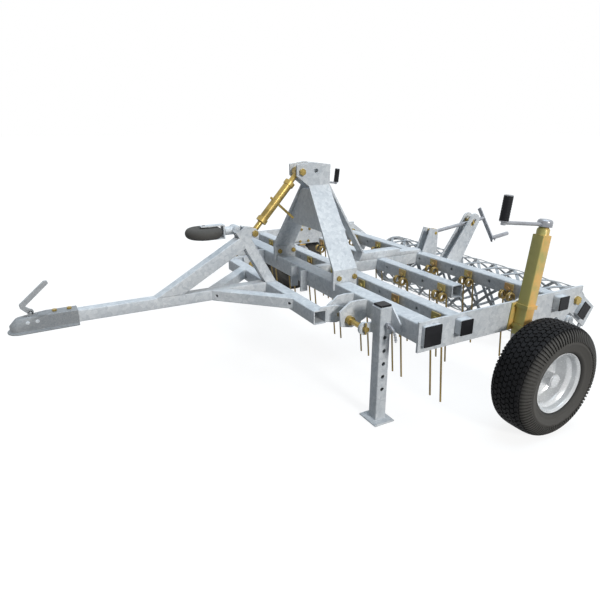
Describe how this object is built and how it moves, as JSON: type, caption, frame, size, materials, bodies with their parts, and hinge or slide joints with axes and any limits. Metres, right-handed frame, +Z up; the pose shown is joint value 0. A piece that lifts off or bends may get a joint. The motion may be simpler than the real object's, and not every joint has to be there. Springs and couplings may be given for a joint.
{
  "type": "tow-behind arena harrow",
  "caption": "Galvanised arena harrow with rows of spring tines, a mesh roller behind, two screw-jack wheels, a support leg, a headstock and a ball-coupling drawbar.",
  "frame": {"origin": "middle of the overall box, on the ground under it", "axes": "+Z up, -Y towards the coupling, X across the machine with the support leg on +X"},
  "size_m": [2.3072, 2.7182, 0.992],
  "materials": {
    "galvanised": "satin",
    "zinc_yellow": "satin",
    "spring_yellow": "satin",
    "bright_steel": "satin",
    "dark_steel": "matt",
    "black_plastic": "matt",
    "rim_silver": "satin",
    "tyre_rubber": "matt"
  },
  "bodies": {
    "frame": {"front_beam": "galvanised", "second_beam": "galvanised", "third_beam": "galvanised", "fourth_beam": "galvanised", "side_plate_left": "galvanised", "side_plate_right": "galvanised", "centre_tie": "galvanised", "spine": "galvanised", "beam_caps": "black_plastic", "hitch_brackets": "galvanised", "hitch_pins": "zinc_yellow", "headstock_leg_left": "galvanised", "headstock_leg_right": "galvanised", "headstock_cheeks": "galvanised", "headstock_plates": "galvanised", "headstock_brace": "galvanised", "frame_bolts": "zinc_yellow", "tine_clamps": "zinc_yellow", "tines_second": "spring_yellow", "tines_third": "spring_yellow", "tines_fourth": "spring_yellow", "leg_sleeve": "galvanised", "jack_mounts": "zinc_yellow", "jack_tube_left": "zinc_yellow", "jack_tube_right": "zinc_yellow", "spindle_bracket": "galvanised"},
    "support_leg": {"support_leg": "galvanised", "leg_cap": "black_plastic"},
    "leg_pin": {"leg_pin": "zinc_yellow"},
    "drawbar": {"drawbar_tube": "galvanised", "drawbar_strut": "galvanised", "drawbar_mast": "galvanised", "crossbar": "galvanised", "drawbar_plates": "galvanised", "drawbar_bolts": "zinc_yellow", "coupling_body": "galvanised"},
    "coupling_lever": {"coupling_lever": "dark_steel"},
    "jockey_stem": {"jockey_stem": "galvanised"},
    "jockey_fork": {"jockey_fork": "galvanised"},
    "jockey_wheel": {"jockey_wheel": "tyre_rubber"},
    "link_upper": {"link_eye_upper": "zinc_yellow"},
    "link_sleeve": {"link_sleeve": "zinc_yellow"},
    "link_lower": {"link_eye_lower": "zinc_yellow"},
    "crank_left": {"jack_crank_left": "bright_steel"},
    "crank_right": {"jack_crank_right": "bright_steel"},
    "slider_left": {"jack_slider_left": "bright_steel"},
    "slider_right": {"jack_slider_right": "bright_steel"},
    "wheel_left": {"rim_left": "rim_silver", "tyre_left": "tyre_rubber"},
    "wheel_right": {"rim_right": "rim_silver", "tyre_right": "tyre_rubber"},
    "rear_unit": {"rear_arms": "galvanised", "rear_tube": "galvanised", "rear_caps": "black_plastic", "rear_lever": "galvanised"},
    "roller": {"roller_cage": "galvanised", "roller_ends": "galvanised"},
    "trunnion": {"spindle_trunnion": "zinc_yellow"},
    "spindle": {"spindle_screw": "bright_steel"},
    "spindle_nut": {"spindle_nut": "zinc_yellow"}
  },
  "joints": [
    {"name": "drawbar_pitch", "type": "hinge", "parent": "frame", "child": "drawbar", "pos_m": [0, -0.12906, 0.4], "axis": [1, 0, 0], "range_deg": [-5, 5]},
    {"name": "link_upper_pivot", "type": "hinge", "parent": "frame", "child": "link_upper", "pos_m": [0, -0.06406, 0.948], "axis": [1, 0, 0], "range_deg": [-2, 2]},
    {"name": "link_sleeve_turn", "type": "hinge", "parent": "link_upper", "child": "link_sleeve", "pos_m": [0, -0.06406, 0.948], "axis": [0, -0.6673, -0.7448], "continuous": true},
    {"name": "link_lower_pivot", "type": "hinge", "parent": "drawbar", "child": "link_lower", "pos_m": [0, -0.30506, 0.679], "axis": [1, 0, 0], "range_deg": [-8, 8]},
    {"name": "coupling_lever_lift", "type": "hinge", "parent": "drawbar", "child": "coupling_lever", "pos_m": [0, -1.26706, 0.452], "axis": [-1, 0, 0], "range_deg": [0, 30]},
    {"name": "jockey_fold", "type": "hinge", "parent": "drawbar", "child": "jockey_stem", "pos_m": [-0.13, -0.34106, 0.672], "axis": [1, 0, 0], "range_deg": [0, 60]},
    {"name": "jockey_swivel", "type": "hinge", "parent": "jockey_stem", "child": "jockey_fork", "pos_m": [-0.13, -0.50006, 0.672], "axis": [0, -1, 0], "continuous": true},
    {"name": "jockey_spin", "type": "hinge", "parent": "jockey_fork", "child": "jockey_wheel", "pos_m": [-0.13, -0.50006, 0.672], "axis": [0, 0, 1], "continuous": true},
    {"name": "leg_slide", "type": "slide", "parent": "frame", "child": "support_leg", "axis": [0, 0, 1], "range_m": [0, 0.2256]},
    {"name": "leg_pin_pull", "type": "slide", "parent": "frame", "child": "leg_pin", "axis": [1, 0, 0], "range_m": [-0.012, 0.05]},
    {"name": "jack_left_slide", "type": "slide", "parent": "frame", "child": "slider_left", "axis": [0, 0.1149, 0.9934], "range_m": [-0.03, 0.09]},
    {"name": "jack_right_slide", "type": "slide", "parent": "frame", "child": "slider_right", "axis": [0, 0.1149, 0.9934], "range_m": [-0.03, 0.09]},
    {"name": "crank_left_turn", "type": "hinge", "parent": "frame", "child": "crank_left", "pos_m": [0.9303, 0.46232, 0.43], "axis": [0, 0.1149, 0.9934], "continuous": true},
    {"name": "crank_right_turn", "type": "hinge", "parent": "frame", "child": "crank_right", "pos_m": [-0.9303, 0.46232, 0.43], "axis": [0, 0.1149, 0.9934], "continuous": true},
    {"name": "wheel_left_spin", "type": "hinge", "parent": "slider_left", "child": "wheel_left", "pos_m": [1.068, 0.45094, 0.228], "axis": [1, 0, 0], "continuous": true},
    {"name": "wheel_right_spin", "type": "hinge", "parent": "slider_right", "child": "wheel_right", "pos_m": [-1.068, 0.45094, 0.228], "axis": [1, 0, 0], "continuous": true},
    {"name": "rear_pitch", "type": "hinge", "parent": "frame", "child": "rear_unit", "pos_m": [0, 0.84094, 0.428], "axis": [1, 0, 0], "range_deg": [-8, 14]},
    {"name": "roller_spin", "type": "hinge", "parent": "rear_unit", "child": "roller", "pos_m": [0, 1.09947, 0.2241], "axis": [1, 0, 0], "continuous": true},
    {"name": "spindle_pitch", "type": "hinge", "parent": "frame", "child": "trunnion", "pos_m": [0, 0.80894, 0.574], "axis": [1, 0, 0], "range_deg": [-10, 17]},
    {"name": "spindle_turn", "type": "hinge", "parent": "trunnion", "child": "spindle", "pos_m": [0, 0.80894, 0.574], "axis": [0, 0.9928, 0.1198], "continuous": true},
    {"name": "spindle_nut_travel", "type": "slide", "parent": "trunnion", "child": "spindle_nut", "axis": [0, 0.9928, 0.1198], "range_m": [-0.05, 0.05]}
  ],
  "couplings": [
    {"joint": "link_upper_pivot", "follows": "drawbar_pitch", "ratio": -0.245},
    {"joint": "link_lower_pivot", "follows": "drawbar_pitch", "ratio": -1.245},
    {"joint": "spindle_pitch", "follows": "rear_pitch", "ratio": 0.98},
    {"joint": "spindle_nut_travel", "follows": "rear_pitch", "m_per_rad": -0.14897}
  ]
}
